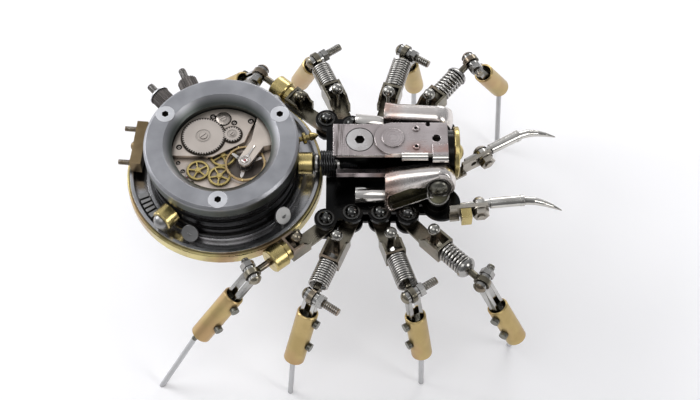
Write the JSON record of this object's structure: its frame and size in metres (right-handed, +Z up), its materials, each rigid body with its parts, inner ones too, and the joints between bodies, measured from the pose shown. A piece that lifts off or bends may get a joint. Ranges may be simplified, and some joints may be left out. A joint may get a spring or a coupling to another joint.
{
  "type": "spider robot",
  "caption": "Mechanical spider robot: a watch-movement abdomen, a bolted plate thorax, tilting fangs and sprung legs with hinged hips and knees.",
  "frame": {"origin": "On the ground, at the centre of the footprint's bounding box", "axes": "+X forward towards the fangs, +Y to the spider's left, +Z up"},
  "size_m": [0.1396, 0.1132, 0.0665],
  "materials": {
    "bezel_zinc": "blasted, worn",
    "black_metal": "satin, chipped",
    "ring_steel": "turned",
    "brass": "aged, polished edges",
    "movement_plate": "matte nickel wash",
    "movement_wheel": "polished",
    "winding_steel": "circular grain",
    "bright_steel": "polished",
    "head_steel": "worn nickel",
    "lever_chrome": "polished",
    "leg_steel": "plated, worn",
    "spring_steel": "wire",
    "bronze": "dark, aged",
    "fang_steel": "ground",
    "lug_steel": "plated"
  },
  "bodies": {
    "body": {"bezel": "bezel_zinc", "drum": "black_metal", "carrier_ring": "ring_steel", "brass_rim": "brass", "rim_bushes": "brass", "rim_screws": "bright_steel", "crown_knobs": "black_metal", "main_plate": "movement_plate", "bridges": "movement_plate", "chassis": "black_metal", "spine_block": "black_metal", "chassis_bolts": "bright_steel", "waist_springs": "black_metal", "head_plates": "head_steel", "countersunk_screws": "bright_steel", "lever_right": "lever_chrome", "lever_left": "lever_chrome", "face_disc": "brass", "rear_bar": "bronze", "fang_mounts": "lug_steel"},
    "ratchet": {"ratchet_wheel": "winding_steel"},
    "crown": {"crown_wheel": "winding_steel"},
    "centre": {"centre_wheel": "movement_wheel"},
    "third": {"third_wheel": "movement_wheel"},
    "fourth": {"fourth_wheel": "movement_wheel"},
    "balance": {"balance_wheel": "movement_wheel"},
    "fang_right": {"fang_right": "fang_steel"},
    "fang_left": {"fang_left": "fang_steel"},
    "right1_femur": {"leg_right1_femur": "leg_steel", "leg_right1_spring": "brass"},
    "right1_shin": {"leg_right1_shin": "leg_steel", "leg_right1_sleeve": "brass"},
    "right2_femur": {"leg_right2_femur": "leg_steel", "leg_right2_spring": "spring_steel"},
    "right2_shin": {"leg_right2_shin": "leg_steel", "leg_right2_sleeve": "brass"},
    "right3_femur": {"leg_right3_femur": "leg_steel", "leg_right3_spring": "spring_steel"},
    "right3_shin": {"leg_right3_shin": "leg_steel", "leg_right3_sleeve": "brass"},
    "right4_femur": {"leg_right4_femur": "leg_steel", "leg_right4_spring": "spring_steel"},
    "right4_shin": {"leg_right4_shin": "leg_steel", "leg_right4_sleeve": "brass"},
    "left1_femur": {"leg_left1_femur": "leg_steel", "leg_left1_spring": "brass"},
    "left1_shin": {"leg_left1_shin": "leg_steel", "leg_left1_sleeve": "brass"},
    "left2_femur": {"leg_left2_femur": "leg_steel", "leg_left2_spring": "spring_steel"},
    "left2_shin": {"leg_left2_shin": "leg_steel", "leg_left2_sleeve": "brass"},
    "left3_femur": {"leg_left3_femur": "leg_steel", "leg_left3_spring": "spring_steel"},
    "left3_shin": {"leg_left3_shin": "leg_steel", "leg_left3_sleeve": "brass"},
    "left4_femur": {"leg_left4_femur": "leg_steel", "leg_left4_spring": "spring_steel"},
    "left4_shin": {"leg_left4_shin": "leg_steel", "leg_left4_sleeve": "brass"}
  },
  "joints": [
    {"name": "ratchet_spin", "type": "hinge", "parent": "body", "child": "ratchet", "pos_m": [-0.04234, 0.0051, 0.057], "axis": [0, 0, 1], "continuous": true},
    {"name": "crown_spin", "type": "hinge", "parent": "body", "child": "crown", "pos_m": [-0.03338, 0.00588, 0.057], "axis": [0, 0, 1], "continuous": true},
    {"name": "centre_spin", "type": "hinge", "parent": "body", "child": "centre", "pos_m": [-0.03604, -0.0009, 0.057], "axis": [0, 0, 1], "continuous": true},
    {"name": "third_spin", "type": "hinge", "parent": "body", "child": "third", "pos_m": [-0.03684, -0.00845, 0.057], "axis": [0, 0, 1], "continuous": true},
    {"name": "fourth_spin", "type": "hinge", "parent": "body", "child": "fourth", "pos_m": [-0.04354, -0.0064, 0.057], "axis": [0, 0, 1], "continuous": true},
    {"name": "balance_swing", "type": "hinge", "parent": "body", "child": "balance", "pos_m": [-0.02894, -0.0045, 0.057], "axis": [0, 0, 1], "range_deg": [-120, 120], "stiffness_Nm_per_rad": 0.000002},
    {"name": "fang_right_tilt", "type": "hinge", "parent": "body", "child": "fang_right", "pos_m": [0.04346, -0.0153, 0.052], "axis": [-0.1045, 0.9945, 0], "range_deg": [-25, 25]},
    {"name": "fang_left_tilt", "type": "hinge", "parent": "body", "child": "fang_left", "pos_m": [0.04496, 0.0032, 0.052], "axis": [-0.4924, 0.8704, 0], "range_deg": [-25, 25]},
    {"name": "right1_hip", "type": "hinge", "parent": "body", "child": "right1_femur", "pos_m": [-0.00408, -0.01849, 0.0454], "axis": [0, 0, 1], "range_deg": [0, 10]},
    {"name": "right1_knee", "type": "hinge", "parent": "right1_femur", "child": "right1_shin", "pos_m": [-0.02632, -0.0373, 0.0475], "axis": [-0.454, 0.891, 0], "range_deg": [-25, 40]},
    {"name": "right2_hip", "type": "hinge", "parent": "body", "child": "right2_femur", "pos_m": [0.00396, -0.0163, 0.0454], "axis": [0, 0, 1], "range_deg": [-8, 10]},
    {"name": "right2_knee", "type": "hinge", "parent": "right2_femur", "child": "right2_shin", "pos_m": [-0.00784, -0.0441, 0.046], "axis": [-0.8192, 0.5736, 0], "range_deg": [-25, 40]},
    {"name": "right3_hip", "type": "hinge", "parent": "body", "child": "right3_femur", "pos_m": [0.01276, -0.0163, 0.0454], "axis": [0, 0, 1], "range_deg": [-10, 10]},
    {"name": "right3_knee", "type": "hinge", "parent": "right3_femur", "child": "right3_shin", "pos_m": [0.02196, -0.045, 0.049], "axis": [-0.8387, -0.5446, 0], "range_deg": [-25, 40]},
    {"name": "right4_hip", "type": "hinge", "parent": "body", "child": "right4_femur", "pos_m": [0.02146, -0.0166, 0.0454], "axis": [0, 0, 1], "range_deg": [-10, 10]},
    {"name": "right4_knee", "type": "hinge", "parent": "right4_femur", "child": "right4_shin", "pos_m": [0.04346, -0.041, 0.0495], "axis": [-0.4848, -0.8746, 0], "range_deg": [-25, 40]},
    {"name": "left1_hip", "type": "hinge", "parent": "body", "child": "left1_femur", "pos_m": [-0.00408, 0.01849, 0.0454], "axis": [0, 0, -1], "range_deg": [0, 10]},
    {"name": "left1_knee", "type": "hinge", "parent": "left1_femur", "child": "left1_shin", "pos_m": [-0.02632, 0.0373, 0.0475], "axis": [0.454, 0.891, 0], "range_deg": [-25, 40]},
    {"name": "left2_hip", "type": "hinge", "parent": "body", "child": "left2_femur", "pos_m": [0.00396, 0.0163, 0.0454], "axis": [0, 0, -1], "range_deg": [-8, 10]},
    {"name": "left2_knee", "type": "hinge", "parent": "left2_femur", "child": "left2_shin", "pos_m": [-0.00784, 0.0441, 0.046], "axis": [0.8192, 0.5736, 0], "range_deg": [-25, 40]},
    {"name": "left3_hip", "type": "hinge", "parent": "body", "child": "left3_femur", "pos_m": [0.01276, 0.0163, 0.0454], "axis": [0, 0, -1], "range_deg": [-10, 10]},
    {"name": "left3_knee", "type": "hinge", "parent": "left3_femur", "child": "left3_shin", "pos_m": [0.02196, 0.045, 0.049], "axis": [0.8387, -0.5446, 0], "range_deg": [-25, 40]},
    {"name": "left4_hip", "type": "hinge", "parent": "body", "child": "left4_femur", "pos_m": [0.02146, 0.0166, 0.0454], "axis": [0, 0, -1], "range_deg": [-10, 10]},
    {"name": "left4_knee", "type": "hinge", "parent": "left4_femur", "child": "left4_shin", "pos_m": [0.04346, 0.041, 0.0495], "axis": [0.4848, -0.8746, 0], "range_deg": [-25, 40]}
  ],
  "couplings": [
    {"joint": "crown_spin", "follows": "ratchet_spin", "ratio": -2.5},
    {"joint": "third_spin", "follows": "centre_spin", "ratio": -1.1667},
    {"joint": "fourth_spin", "follows": "centre_spin", "ratio": 1.1667}
  ]
}
